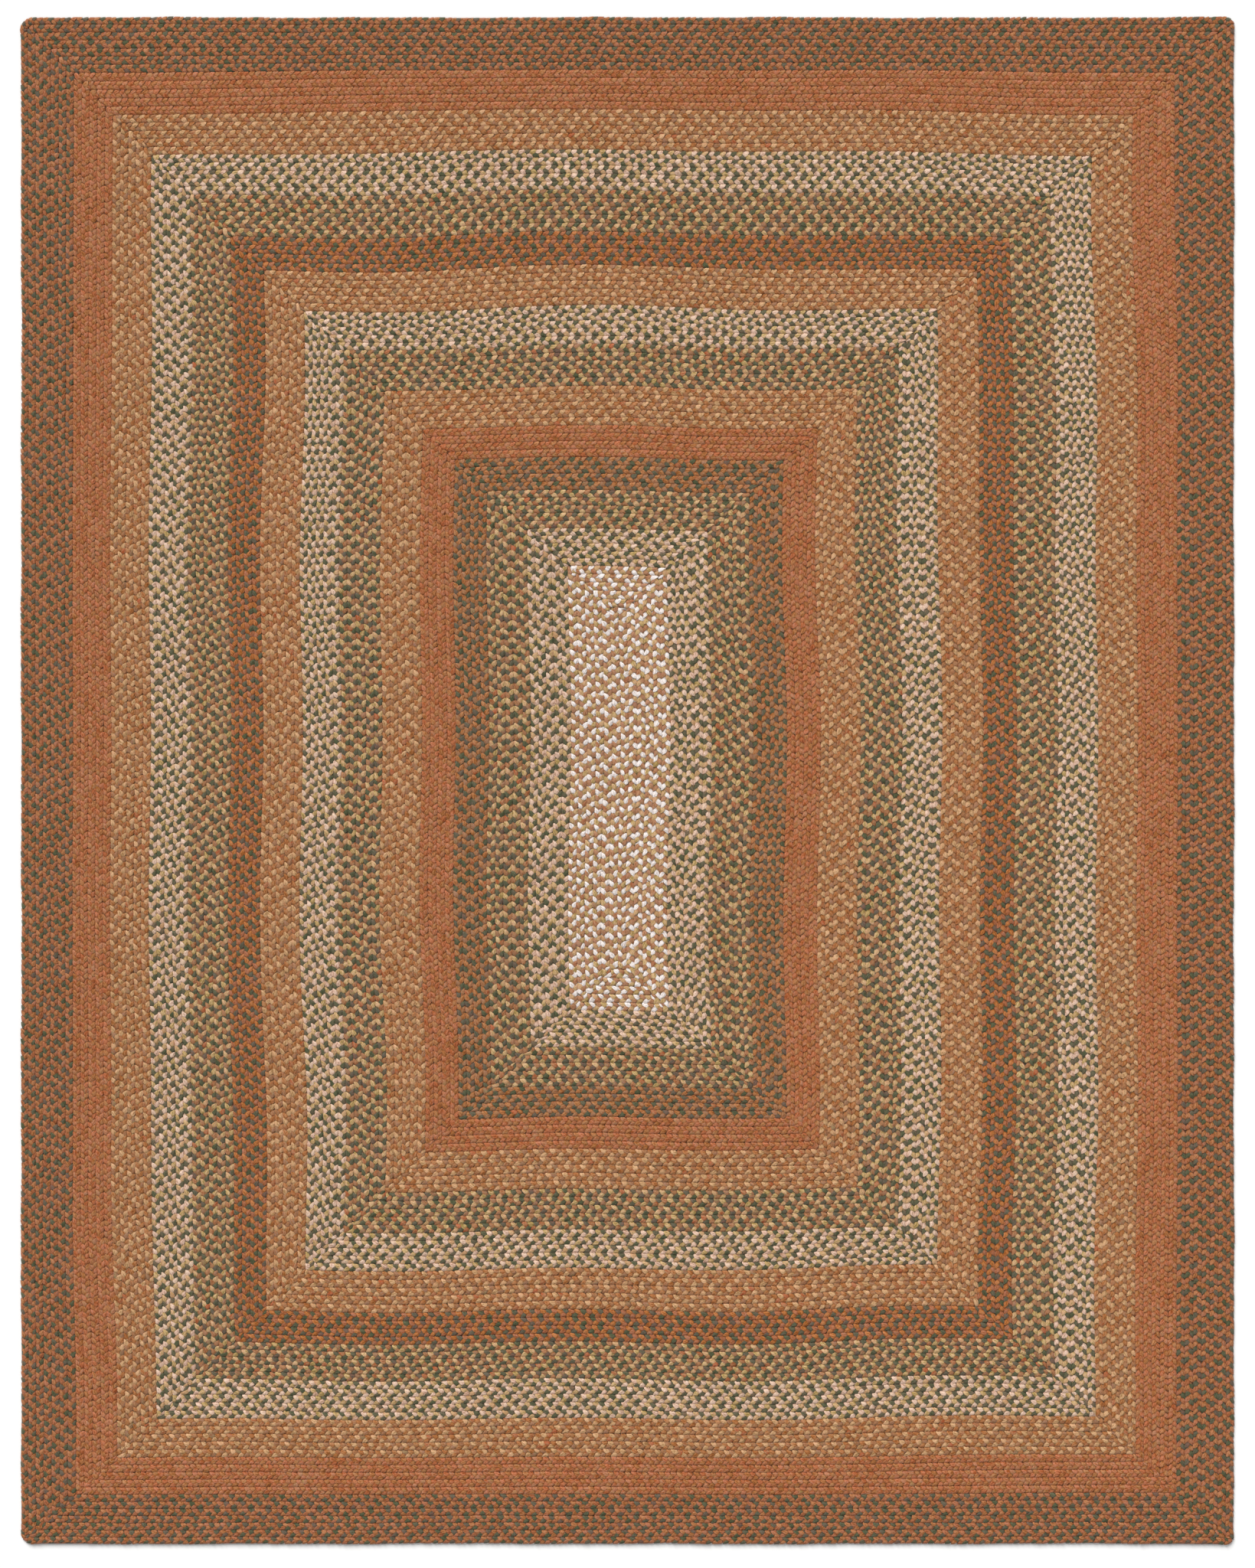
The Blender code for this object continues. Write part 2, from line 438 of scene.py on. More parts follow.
@dataclass
class RoundRow:
    """One closed round of braid between an outer and an inner edge."""

    outer: Edge
    inner: Edge
    is_rim: bool = False
    starts: Array = field(init=False)
    total: float = field(init=False)
    width: Array = field(init=False)

    def __post_init__(self) -> None:
        """Works out the row's width on each side, and where its sides and corners start along the braid."""
        reach, turns = self.inner.reach, self.inner.turns
        self.width = self.outer.reach - reach
        next_reach = np.roll(reach, -1)
        straights = next_reach - turns + np.roll(reach, 1) - np.roll(turns, 1)
        mean_width = (self.width + np.roll(self.width, -1)) / 2
        arcs = PLAIT.turn_crowding * (mean_width / 2 + turns) * math.pi / 2
        lengths = np.column_stack((straights, arcs)).ravel()
        self.starts = np.concatenate(([0.0], np.cumsum(lengths)))
        self.total = float(self.starts[-1])

    def half_width(self, along: Array) -> Array:
        """Half the row's width at each place along the braid."""
        return self.width[self.part(along) // 2] / 2

    def part(self, along: Array) -> Array:
        """The number of the stretch at each place: even for sides, odd for the corners that end them."""
        return np.searchsorted(self.starts, along % self.total, side="right").clip(1, 2 * SIDES) - 1

    def place(self, along: Array, outward: Array) -> Array:
        """Where points of the row lie on the rug.

        Args:
            along: Distances along the braid.
            outward: Places across the row, 0 at its inner edge and 1 at its outer edge.

        Returns:
            The places.
        """
        part = self.part(along)
        side = part // 2
        after = (side + 1) % SIDES
        here = along % self.total - self.starts[part]
        step, normal, turned = STEPS[side], NORMALS[side], NORMALS[after]
        reach, turns = self.inner.reach, self.inner.turns
        begin = turns[side - 1] - reach[side - 1]
        off = reach[side] + outward * self.width[side]
        straight = step * (begin + here)[:, None] + normal * off[:, None]
        angle = here / (self.starts[part + 1] - self.starts[part]) * math.pi / 2
        first, second = self.turned_off(side, after, angle, outward)
        corner = normal * (reach[side] - turns[side] + first)[:, None]
        corner = corner + turned * (reach[after] - turns[side] + second)[:, None]
        return RUG.laid(np.where((part % 2 == 1)[:, None], corner, straight))

    def turned_off(self, side: Array, after: Array, angle: Array, outward: Array) -> tuple[Array, Array]:
        """How far points in a corner lie from its pivot, towards the side that it ends and the next one.

        The inner edge is an arc about the pivot, and the outer edge a squarer one with its own radius.

        Args:
            side: The side that the corner ends, for each point.
            after: The side after it.
            angle: How far the braid has turned, from 0 to a right angle.
            outward: Places across the row.

        Returns:
            The distances along the two sides' normals.
        """
        turn = self.inner.turns[side]
        deep, deep_after = self.width[side] + turn, self.width[after] + turn
        radius = np.clip(self.outer.turns[side] / ((deep + deep_after) / 2), 0.0, 1.0)
        cos, sin = np.cos(angle), np.sin(angle)
        square = 1.0 / np.maximum(cos, sin)
        lean = (1.0 - radius) * (cos - sin)
        arc = (1.0 - radius) * (cos + sin) + np.sqrt(np.clip(radius**2 - lean**2, 0.0, None))
        ray = np.where(square * np.minimum(cos, sin) > 1.0 - radius, arc, square)
        share = np.maximum(outward, -PROFILE.inner_overlap)
        first = turn * cos + share * (deep * ray - turn) * cos
        second = turn * sin + share * (deep_after * ray - turn) * sin
        return first, second


@dataclass
class StraightRow:
    """One straight middle run of braid, from the top down. Its outward side is the left one."""

    left: float
    right: float
    top: float
    bottom: float
    is_rim: bool = False

    @property
    def total(self) -> float:
        """The run's length."""
        return self.top - self.bottom

    def half_width(self, along: Array) -> Array:
        """Half the row's width at each place along the braid."""
        return np.full(along.shape, (self.right - self.left) / 2)

    def place(self, along: Array, outward: Array) -> Array:
        """Where points of the run lie on the rug, as for a RoundRow."""
        x = self.right + outward * (self.left - self.right)
        return RUG.laid(np.column_stack((x, self.top - np.clip(along, 0.0, self.total))))


@dataclass
class RugPlan:
    """All the rows of the rug, grouped by the node that they belong to."""

    seed: int = 11
    border_turns: tuple[float, float, float, float] = (0.0310, 0.0250, 0.0175, 0.0215)
    turn_kept: float = 0.88
    turn_least: float = 0.0012
    turn_most: float = 0.0060
    rounds: dict[str, list[RoundRow]] = field(default_factory=dict)
    runs: list[StraightRow] = field(default_factory=list)

    def __post_init__(self) -> None:
        """Lays the rounds from the edge inwards, and then the two straight runs."""
        self.draws = np.random.default_rng(self.seed)
        reach = np.array([RUG.length, RUG.width, RUG.length, RUG.width]) / 2
        edge = Edge(reach, np.array(self.border_turns))
        for band in BANDS[:-1]:
            width = np.array([band.top, band.left, band.bottom, band.right]) * MM
            self.rounds[band.node], edge = self.lay(edge, width / band.rows, band.rows)
        self.rounds[BANDS[0].node][0].is_rim = True
        half = (edge.reach[LEFT] + edge.reach[RIGHT]) / 2
        width = np.full(SIDES, half / CENTRE.rows)
        self.rounds[CENTRE.node], edge = self.lay(edge, width, CENTRE.rows - 1)
        top, left, bottom, right = edge.reach
        middle = (right - left) / 2
        self.runs = [StraightRow(-left, middle, top, -bottom), StraightRow(middle, right, top, -bottom)]
        self.core = RoundRow(edge, Edge(edge.reach - width, np.zeros(SIDES)))

    def lay(self, edge: Edge, width: Array, rows: int) -> tuple[list[RoundRow], Edge]:
        """Lays some rounds inside an edge.

        Args:
            edge: The edge to start from.
            width: The width of one row on each side.
            rows: How many rows.

        Returns:
            The rounds, and the edge inside the last one.
        """
        made = []
        for _ in range(rows):
            turns = self.draws.uniform(self.turn_least, self.turn_most, SIDES)
            inner = Edge(edge.reach - width, np.maximum(turns, edge.turns - self.turn_kept * width))
            made.append(RoundRow(edge, inner))
            edge = inner
        return made, edge

    def all_rounds(self) -> list[RoundRow]:
        """Every closed round from the edge inwards, with the one under the straight runs."""
        return [row for rows in self.rounds.values() for row in rows] + [self.core]


# --- Lobes ---


@dataclass
class LobeShape:
    """The one lobe that every crossing repeats, as arrays read from a small mesh.

    Its points are (a, b, drop): a runs from 0 at the tail to 1 at the head, b from -0.5 at the side of the
    row's middle to 0.5 at the side of its edge, and drop is metres above the row's own profile.
    """

    inside: float = 0.9
    points: Array = field(init=False)
    faces: Array = field(init=False)
    # Painted shade for each point: 1 on the spine, less at the outline and 0 at the head.
    crest: Array = field(init=False)

    def __post_init__(self) -> None:
        """Cuts a round cap into triangles, one point of them halfway from its middle to its tail."""
        mesh = bmesh.new()
        bmesh.ops.create_circle(mesh, cap_ends=True, segments=LOBE.corners, radius=1.0)
        bmesh.ops.poke(mesh, faces=mesh.faces[:])
        tail = min(mesh.verts, key=lambda vertex: vertex.co.x)
        spine = next(edge for edge in tail.link_edges if edge.other_vert(tail).co.length < self.inside)
        bmesh.ops.bisect_edges(mesh, edges=[spine], cuts=1)
        bmesh.ops.triangulate(mesh, faces=mesh.faces[:])
        mesh.verts.index_update()
        mesh.normal_update()
        self.faces = np.array([[vertex.index for vertex in face.verts] for face in mesh.faces])
        if mesh.faces[:][0].normal.z < 0.0:
            self.faces = self.faces[:, ::-1]
        self.swell(*np.array([vertex.co[:2] for vertex in mesh.verts]).T)
        mesh.free()

    def swell(self, x: Array, y: Array) -> None:
        """Shapes the cap into a teardrop with a raised crest, and paints shade down its sides, darkest at its
        head.

        Args:
            x: The points' places on the unit circle, from tail to head.
            y: Their places across it.
        """
        on_spine = np.hypot(x, y) < self.inside
        outline = (np.where(x > TINY - 1.0, 1.0 + x, 0.0) / 2) ** LOBE.waist_power
        a = np.where(on_spine, LOBE.crest_at * (1.0 + x), outline)
        wide = np.where(np.abs(y) > TINY, np.abs(y), 0.0) ** LOBE.shoulder_power
        b = 0.5 * wide * np.copysign(1.0 - LOBE.tail_taper * (1.0 - a), y)
        near_head = smooth_step((a - LOBE.head_start) / LOBE.head_length)
        fall = LOBE.tail_drop * np.clip(1.0 - a / LOBE.tail_start, 0.0, None) ** 2
        side = LOBE.side_drop + (LOBE.head_drop - LOBE.side_drop) * near_head
        spine = np.where(np.abs(x) < TINY, LOBE.crest_rise, -fall)
        self.points = np.column_stack((a, b, np.where(on_spine, spine, -fall - side))).astype(np.float32)
        # The painted shade: light on the spine and tail, darker at the sides, darkest at the head.
        edge = np.where(a < TINY, LOBE.tail_light, LOBE.side_light * (1.0 - near_head))
        self.crest = np.where(on_spine, 1.0, edge)


class Lobes(NamedTuple):
    """Some lobes, as arrays with an entry for each. A size is its length and width."""

    points: Array
    flips: Array
    sizes: Array
    shifts: Array
    tints: Array
    strands: Array


@dataclass
class Lacing:
    """Where the crossings of each row fall.

    Lacing pulls a row's loops between those of the row outside it, so that lobes of one strand tend to meet
    in hearts across the groove: there the two rows are half a period apart. Each row's phase, counted in
    crossings, is fixed at the middle of every side in this way, wanders a little, and is stretched evenly in
    between.
    """

    seed: int = 5
    slack: float = 1e-6
    phases: Array = field(init=False)

    def __post_init__(self) -> None:
        """Starts the draws and the rim's own phases."""
        self.draws = np.random.default_rng(self.seed)
        self.phases = self.draws.uniform(0.0, PLAIT.crossings, SIDES)

    def next_phases(self) -> Array:
        """Moves on to the next row.

        Returns:
            The phases that it wants at the middles of its sides.
        """
        wander = self.draws.normal(0.0, PLAIT.heart_wander, SIDES)
        self.phases = (self.phases + PLAIT.crossings / 2 + wander) % PLAIT.crossings
        return self.phases

    def crossings(self, row: RoundRow, period: float) -> tuple[Array, Array]:
        """The crossings of the next round inwards.

        Args:
            row: The round.
            period: The length of braid in which the strands come round.

        Returns:
            The crossings' places along the braid, and their numbers.
        """
        wanted = self.next_phases()
        middles = (row.starts[0:2 * SIDES:2] + row.starts[1:2 * SIDES:2]) / 2
        middles = np.append(middles, middles[0] + row.total)
        gaps = np.diff(middles) / period * PLAIT.crossings
        reached = [wanted[0]]
        for gap, phase in zip(gaps, np.append(wanted[1:], wanted[0])):
            natural = reached[-1] + gap
            turned = (phase - natural + PLAIT.crossings / 2) % PLAIT.crossings
            reached.append(natural + turned - PLAIT.crossings / 2)
        number = np.arange(math.ceil(reached[0]), math.ceil(reached[-1] - self.slack))
        wander = np.zeros(len(number))
        for wave in range(1, PLAIT.pitch_waves + 1):
            turn = math.tau * (wave * number / len(number) + self.draws.uniform())
            wander += self.draws.normal() * PLAIT.pitch_wander * np.sin(turn) / wave
        return np.interp(number, reached, middles) + wander * period / PLAIT.crossings, number

    def run_crossings(self, row: StraightRow, period: float) -> tuple[Array, Array]:
        """The crossings of a straight middle run, which lies inside the left side of the last row.

        Args:
            row: The run.
            period: The length of braid in which the strands come round.

        Returns:
            The crossings' places along the braid, and their numbers.
        """
        phase = self.next_phases()[LEFT]
        pitch = period / PLAIT.crossings
        reach = row.total / 2 / pitch
        number = np.arange(math.ceil(phase - reach), math.floor(phase + reach) + 1)
        return row.total / 2 + (number - phase) * pitch, number


@dataclass
class StrandPlaiter:
    """Places the lobes of a band's rows."""

    shape: LobeShape
    draws: np.random.Generator
    fullness: tuple[float, ...]
    rows: list[Lobes] = field(default_factory=list)

    def plait(self, row: RoundRow | StraightRow, at: Array, number: Array) -> None:
        """Adds the lobes of one row.

        Args:
            row: The row's path.
            at: Where its crossings lie along the braid.
            number: The crossings' numbers, which say each one's side and strand.
        """
        count = len(at)
        pitch = row.total / count * 2
        column = np.where(number % 2 == 0, -1.0, 1.0)
        half = row.half_width(at)
        grow = 1.0 + self.draws.normal(0.0, LOBE.jitter_size, (2, count))
        lean = self.draws.normal(0.0, LOBE.jitter_turn, count)
        full = np.array(self.fullness)[number % PLAIT.strands]
        lead = LOBE.lead * pitch * grow[0] * (1.0 - lean) * full
        sweep = LOBE.sweep * half * (1.0 + lean)
        girth = LOBE.girth * pitch * grow[1] * full
        span = np.hypot(lead, sweep)
        at = at + self.draws.normal(0.0, LOBE.jitter_along, count)
        aside = self.draws.normal(0.0, LOBE.jitter_across, count)
        lift = self.draws.normal(0.0, LOBE.jitter_height, count) + LOBE.full_rise * (full - 1.0)
        a, b, drop = (self.shape.points[:, axis][None, :] for axis in range(3))
        along = at[:, None] + (a - 0.5) * lead[:, None] + b * (girth * sweep / span)[:, None]
        start = half * (1.0 + LOBE.tail_past) + aside
        off = start[:, None] - a * sweep[:, None] + b * (girth * lead / span)[:, None]
        outward = 0.5 + column[:, None] * off / (2.0 * half[:, None])
        if row.is_rim:
            outward = self.tucked(outward * (1.0 - PROFILE.rim_inset))
        places = row.place(along.ravel(), outward.ravel()).reshape(*along.shape, 2)
        height = np.maximum(PROFILE.height(outward, row.is_rim) + drop + lift[:, None], PROFILE.least)
        points = np.dstack((places, height))
        shift = self.streaks(at, DYE.shift_wave)
        own_tint = self.draws.uniform(0.0, 1.0, count)
        tint = DYE.own_tint * own_tint + (1.0 - DYE.own_tint) * self.streaks(at, DYE.tint_wave)
        size = np.column_stack((span, girth))
        self.rows.append(Lobes(points, column > 0.0, size, shift, tint, number % PLAIT.strands))

    def strand(self, number: int) -> Lobes:
        """The lobes of one strand in all the rows."""
        joined = [np.concatenate(parts) for parts in zip(*self.rows)]
        return Lobes(*(part[joined[-1] == number] for part in joined))

    def tucked(self, outward: Array) -> Array:
        """Places across the rim's row, drawn in softly so that none passes the rug's edge.

        Args:
            outward: The places, 0 at the row's inner edge and 1 at the rug's edge.

        Returns:
            The places after it.
        """
        soft = PROFILE.rim_soften
        held = 1.0 - soft + soft * np.tanh((outward - 1.0 + soft) / soft)
        return np.where(outward > 1.0 - soft, held, outward)

    def streaks(self, at: Array, wave: float) -> Array:
        """A number for each lobe that wanders along the braid and jumps a little from lobe to lobe.

        Args:
            at: Where the crossings lie along the braid.
            wave: The length of the slow wander.

        Returns:
            The numbers, from 0 to 1.
        """
        slow = np.sin(math.tau * (at / wave + self.draws.uniform()))
        slow = slow + np.sin(math.tau * (at / (DYE.second_wave * wave) + self.draws.uniform()))
        return np.clip(0.5 + DYE.swing * slow + self.draws.normal(0.0, DYE.jump, len(at)), 0.0, 1.0)


@dataclass
class StrandPiece:
    """All the lobes of one strand in one colour band, joined into one mesh."""

    name: str
    shape: LobeShape
    lobes: Lobes
    seed: int
    cell_margin: float = 0.06
    yarn_offset: float = 400.0

    def build(self) -> bpy.types.Object:
        """Joins the lobes into a mesh with its yarn map, its bake map, its colour numbers and its painted
        edge shade.

        Returns:
            The piece.
        """
        count, corners = self.lobes.points.shape[:2]
        faces = np.where(self.lobes.flips[:, None, None], self.shape.faces[:, ::-1], self.shape.faces)
        faces = (faces + (np.arange(count) * corners)[:, None, None]).reshape(-1, 3)
        data = bpy.data.meshes.new(self.name)
        data.from_pydata(self.lobes.points.reshape(-1, 3), [], faces, shade_flat=False)
        for name, places in ((BAKE_MAP, self.bake_places()), (YARN_MAP, self.yarn_places())):
            uv = data.uv_layers.new(name=name).uv
            uv.foreach_set("vector", places.reshape(-1, 2)[faces.ravel()].astype(np.float32).ravel())
        tints, shifts = np.repeat((self.lobes.tints, self.lobes.shifts), corners, axis=1)
        # The crest attribute carries the lobes' painted edge shade.
        for name, values in ((TINT, tints), (SHIFT, shifts), (PAINTED_EDGE_SHADE, np.tile(self.shape.crest, count))):
            data.attributes.new(name, "FLOAT", "POINT").data.foreach_set("value", values.astype(np.float32))
        return add_piece(data)

    def yarn_places(self) -> Array:
        """Finds each vertex's place on its own strand.

        Returns:
            The places along and across the strand, in millimetres.
        """
        sizes = (self.lobes.sizes / MM)[:, None, :]
        offset = np.random.default_rng(self.seed).uniform(0.0, self.yarn_offset, sizes.shape)
        return self.shape.points[:, :2] * sizes + offset

    def bake_places(self) -> Array:
        """Finds each vertex's place on the bake map, where every lobe has a cell of its own.

        Returns:
            The places, from 0 to 1.
        """
        length, width = self.lobes.sizes.T
        number = np.arange(len(length))
        columns = math.ceil(math.sqrt(len(number) / float((length / width).mean())))
        rows = math.ceil(len(number) / columns)
        cell = np.column_stack((number % columns, number // columns))[:, None, :]
        inside = self.shape.points[:, :2] + np.array([0.0, 0.5])
        inside = self.cell_margin + inside * (1.0 - 2.0 * self.cell_margin)
        return (cell + inside) / np.array([columns, rows])


def add_piece(data: bpy.types.ID) -> bpy.types.Object:
    """Puts a mesh, light or camera into the scene as an object of its own name.

    Args:
        data: The mesh, light or camera.

    Returns:
        The object.
    """
    piece = bpy.data.objects.new(data.name, data)
    bpy.context.scene.collection.objects.link(piece)
    return piece


# --- Backing ---


class SectionPoint(NamedTuple):
    """A point of the backing's cross-section: its row, its place across it, and whether it is on top."""

    row: int
    outward: float
    height: float
    top: float


@dataclass
class Backing:
    """The closed body under the lobes: its grooves, its rim and the plaited underside."""

    plan: RugPlan
    name: str = "rug_backing"
    long_steps: int = 20
    short_steps: int = 15
    turn_steps: int = 4
    weld: float = 0.00002
    slit_digits: int = 4
    end_gap: float = 1e-9

    def __post_init__(self) -> None:
        """Works out the stations of every round, and the cross-section."""
        self.rows = self.plan.all_rounds()
        self.stations = [self.spread(row) for row in self.rows]
        self.section = self.drawn_section()
        self.across, self.along = len(self.section) - 1, len(self.stations[0]) - 1

    def spread(self, row: RoundRow) -> Array:
        """Spreads stations along a round, the same number for every round.

        Args:
            row: The round.

        Returns:
            The stations.
        """
        made = []
        for part in range(2 * SIDES):
            start, end = row.starts[part], row.starts[part + 1]
            is_long = part // 2 in (LEFT, RIGHT)
            steps = self.turn_steps if part % 2 else (self.long_steps if is_long else self.short_steps)
            made.append(start + (end - start) * np.arange(steps) / steps)
        return np.concatenate([*made, [row.total * (1.0 - self.end_gap)]])

    def drawn_section(self) -> list[SectionPoint]:
        """Draws the cross-section from the middle's top out over the rim and back underneath.

        Returns:
            The section's points.
        """
        size, last = PROFILE, len(self.rows) - 1
        side, crest = size.foot_shoulder, size.backing_crest
        top = [SectionPoint(last, 0.0, size.backing_groove, 1.0)]
        under = [SectionPoint(last, 0.0, size.foot_groove, 0.0)]
        for number in range(last, -1, -1):
            end, edge = (1.0, size.backing_groove) if number else (size.backing_rim_at, size.backing_rim)
            tuck, foot = (1.0, size.foot_groove) if number else (1.0 - size.rim_tuck, 0.0)
            shoulder = 1.0 - (side if number else size.rim_shoulder)
            for outward, height in ((side, crest), (1.0 - side, crest), (end, edge)):
                top.append(SectionPoint(number, outward, height, 1.0))
            for outward, height in ((side, 0.0), (shoulder, 0.0), (tuck, foot)):
                under.append(SectionPoint(number, outward, height, 0.0))
        return top + under[::-1]

    def build(self) -> bpy.types.Object:
        """Bends a flat grid round the rug, closes it and maps it.

        Returns:
            The backing.
        """
        mesh = bmesh.new()
        bmesh.ops.create_grid(mesh, x_segments=self.along, y_segments=self.across, size=0.5)
        spots = np.array([vertex.co[:2] for vertex in mesh.verts]) + 0.5
        grid = np.rint(spots * (self.along, self.across)).astype(int)
        column, line = grid.T
        places = np.zeros((len(grid), 3))
        for number, point in enumerate(self.section):
            own = line == number
            along_row = self.stations[point.row][column[own]]
            places[own, :2] = self.rows[point.row].place(along_row, np.full(own.sum(), point.outward))
            places[own, 2] = point.height
        self.map_faces(mesh, grid)
        for vertex, place, number in zip(mesh.verts, places, line):
            vertex.co = place
            if number in (0, self.across):
                # The innermost loops come together on the rug's middle line, so that welding closes them.
                vertex.co.x = round(vertex.co.x, self.slit_digits)
        bmesh.ops.remove_doubles(mesh, verts=mesh.verts[:], dist=self.weld)
        bmesh.ops.recalc_face_normals(mesh, faces=mesh.faces[:])
        for face in mesh.faces:
            face.smooth = True
        data = bpy.data.meshes.new(self.name)
        mesh.to_mesh(data)
        mesh.free()
        return add_piece(data)

    def map_faces(self, mesh: bmesh.types.BMesh, grid: Array) -> None:
        """Gives each face corner its place in the rows and on the bake map, and its strands' colours.

        Args:
            mesh: The flat grid.
            grid: The station and the section point of each vertex.
        """
        row_map = mesh.loops.layers.uv.new(ROW_MAP)
        bake_map = mesh.loops.layers.uv.new(BAKE_MAP)
        colours = [mesh.loops.layers.float_color.new(name) for name in STRAND_COLOURS]
        topside = mesh.loops.layers.float_color.new(TOPSIDE)
        bands = [band for band in BANDS for _ in range(band.rows)]
        mesh.verts.index_update()
        for face in mesh.faces:
            low = min(grid[vertex.index, 1] for vertex in face.verts)
            inner = self.section[low + 1] if low < self.across // 2 else self.section[low]
            for loop in face.loops:
                spot, number = grid[loop.vert.index]
                own = self.section[number]
                inward = 1.0 - own.outward + (own.row - inner.row)
                loop[row_map].uv = (self.stations[inner.row][spot] / PLAIT.border_period, inward)
                loop[bake_map].uv = (spot / self.along, number / self.across)
                for layer, yarn in zip(colours, bands[inner.row].strands):
                    loop[layer] = middle_colour(yarn)
                # The top faces are marked so that the material paints shade on them.
                loop[topside] = (inner.top, inner.top, inner.top, 1.0)


# --- Materials ---


def linear(colour: str) -> Colour:
    """A six-digit sRGB colour as a linear one, with full alpha."""
    channels = [int(colour[at:at + 2], 16) / 255 for at in (0, 2, 4)]
    return (*[c / 12.92 if c <= 0.04045 else ((c + 0.055) / 1.055) ** 2.4 for c in channels], 1.0)


@cache
def middle_colour(yarn: Yarn) -> Colour:
    """The colour of a yarn seen from afar: the mean of its stops."""
    stops = np.array([linear(colour) for _, colour in yarn.value.stops])
    return tuple(float(part) for part in stops.mean(axis=0))


def add_node(
    tree: bpy.types.NodeTree, kind: str, inputs: dict, out: int | str = 0, **settings: object
) -> Socket | None:
    """Adds a shader node.

    Args:
        tree: The material's node tree.
        kind: The node's type, without its ShaderNode prefix.
        inputs: Input sockets by name or number, each given a value or another node's output.
        out: Which of its outputs is wanted.
        **settings: Properties to set on the node.

    Returns:
        The wanted output, or nothing where the node has none.
    """
    node = tree.nodes.new("ShaderNode" + kind)
    for name, value in settings.items():
        setattr(node, name, value)
    for name, value in inputs.items():
        if isinstance(value, Socket):
            tree.links.new(value, node.inputs[name])
        else:
            node.inputs[name].default_value = value
    return node.outputs[out] if node.outputs else None


@dataclass(frozen=True)
class FibreSurface:
    """What all the yarns share: the plies' and fibres' real sizes in millimetres, the fibre's shading and its
    painted shade.

    A noise is its length and width, its detail and its roughness. A range is the values from which and to
    which a number is taken.
    """

    plies: tuple[Pair, float, float] = ((9.0, 1.8), 1.0, 0.5)
    fuzz: tuple[Pair, float, float] = ((2.2, 0.7), 2.0, 0.6)
    twist: float = math.radians(20.0)
    noise_range: Pair = (0.3, 0.7)
    stop_range: Pair = (0.22, 0.78)
    fibre_light: float = 0.24
    # Painted shade in the cracks between the plies.
    ply_gap: Pair = (0.34, 0.47)
    ply_shade: float = 0.72
    # Painted shade at the lobes' edges, read from the crest attribute.
    crest_range: Pair = (0.0, 0.60)
    edge_shade: float = 0.68
    # Painted shade made deeper in colour, and lighter places paler, as painted sheen.
    depth_range: Pair = (0.45, 1.25)
    saturation: Pair = (1.14, 0.92)
    fuzz_relief: float = 0.4
    relief: float = 0.0008
    relief_strength: float = 0.8
    ior: float = 1.5
    roughness: float = 0.92
    sheen: float = 0.15
    sheen_roughness: float = 0.5

    def shader(self, tree: bpy.types.NodeTree, colour: Socket, height: Socket) -> None:
        """Ends a tree in the dull fibre's shader.

        Args:
            tree: The material's node tree.
            colour: The fibre's colour.
            height: The relief, from 0 to 1.
        """
        bump = {"Strength": self.relief_strength, "Distance": self.relief, "Height": height}
        surface = {
            "Base Color": colour,
            "Roughness": self.roughness,
            "IOR": self.ior,
            "Sheen Weight": self.sheen,
            "Sheen Roughness": self.sheen_roughness,
            "Normal": add_node(tree, "Bump", bump),
        }
        add_node(tree, "OutputMaterial", {"Surface": add_node(tree, "BsdfPrincipled", surface)})


@dataclass(frozen=True)
class UndersideFinish:
    """The plait that is drawn on the backing: shares of a row's width, and how light its painted shade leaves
    its cracks and its top.
    """

    slant: float = 2.2
    stagger: float = 0.5
    hump: float = 0.3
    row_edge: Pair = (0.5, 0.38)
    # Painted shade in the cracks between the plait's lobes.
    crack_light: float = 0.35
    # Painted shade on the backing's top.
    top_light: float = 0.9


FIBRE = FibreSurface()
UNDERSIDE = UndersideFinish()


def range_inputs(value: Socket, given: Pair, wanted: Pair) -> dict:
    """The inputs of a node that takes a value from one range to another."""
    names = ("From Min", "From Max", "To Min", "To Max")
    return {"Value": value, **dict(zip(names, (*given, *wanted)))}


def empty_material(name: str) -> bpy.types.Material:
    """Makes a material with an empty node tree.

    Args:
        name: The material's name.

    Returns:
        The material.
    """
    material = bpy.data.materials.new(name)
    material.use_nodes = True
    material.node_tree.nodes.clear()
    return material


def fill_ramp(ramp: bpy.types.ColorRamp, stops: tuple[tuple[float, str], ...]) -> None:
    """Puts a yarn's stops on a colour ramp.

    Args:
        ramp: The ramp.
        stops: The positions and colours.
    """
    while len(ramp.elements) < len(stops):
        ramp.elements.new(0.5)
    for element, (position, colour) in zip(ramp.elements, stops):
        element.position = position
        element.color = linear(colour)


